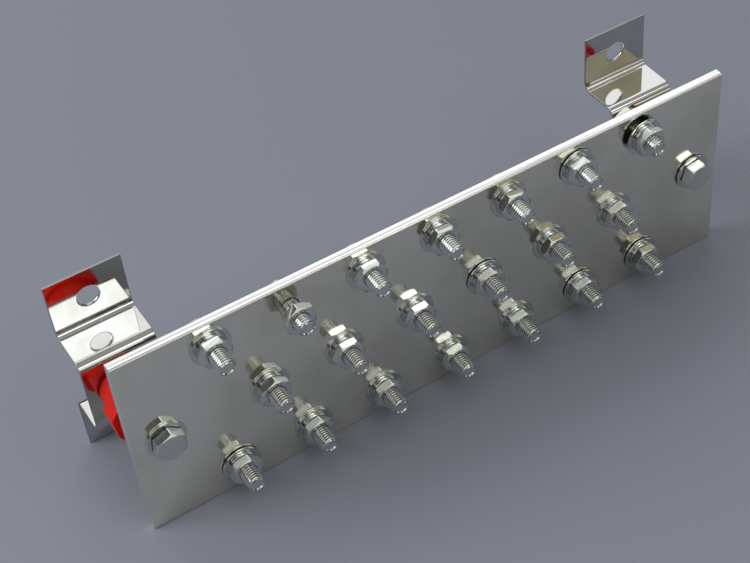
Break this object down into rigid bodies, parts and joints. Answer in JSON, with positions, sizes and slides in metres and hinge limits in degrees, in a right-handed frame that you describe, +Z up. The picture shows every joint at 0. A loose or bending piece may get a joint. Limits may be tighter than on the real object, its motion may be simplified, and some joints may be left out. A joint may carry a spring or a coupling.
{
  "type": "bus bar",
  "caption": "Flat plated metal bar with rows of threaded studs, nuts and washers, held off a panel on moulded insulators and folded hat brackets at its ends.",
  "frame": {"origin": "centre of the four panel holes, in the plane that the bracket flanges bear on", "axes": "+X along the bar, +Y towards the panel, +Z up; the studs point to -Y"},
  "size_m": [0.3056, 0.075, 0.1],
  "materials": {
    "bar": "satin tin plate",
    "bracket": "polished",
    "insulator": "moulded",
    "insert": "turned",
    "bolt": "bright zinc plate",
    "nut": "bright zinc plate",
    "flat_washer": "bright zinc plate",
    "lock_washer": "bright zinc plate"
  },
  "bodies": {
    "root": {"bus_bar": "bar", "left_bracket": "bracket", "right_bracket": "bracket", "left_insulator": "insulator", "right_insulator": "insulator", "left_front_insert": "insert", "right_front_insert": "insert", "left_rear_insert": "insert", "right_rear_insert": "insert", "left_end_bolt": "bolt", "right_end_bolt": "bolt", "left_end_washer": "flat_washer", "right_end_washer": "flat_washer", "left_bracket_bolt": "bolt", "right_bracket_bolt": "bolt", "left_bracket_lock_washer": "lock_washer", "right_bracket_lock_washer": "lock_washer", "left_bracket_flat_washer": "flat_washer", "right_bracket_flat_washer": "flat_washer", "top_row_bolts": "bolt", "top_row_flat_washers": "flat_washer", "top_row_lock_washers": "lock_washer", "top_row_nuts": "nut", "middle_row_bolts": "bolt", "middle_row_flat_washers": "flat_washer", "middle_row_lock_washers": "lock_washer", "middle_row_nuts": "nut", "bottom_row_bolts": "bolt", "bottom_row_flat_washers": "flat_washer", "bottom_row_lock_washers": "lock_washer", "bottom_row_nuts": "nut"}
  },
  "joints": []
}
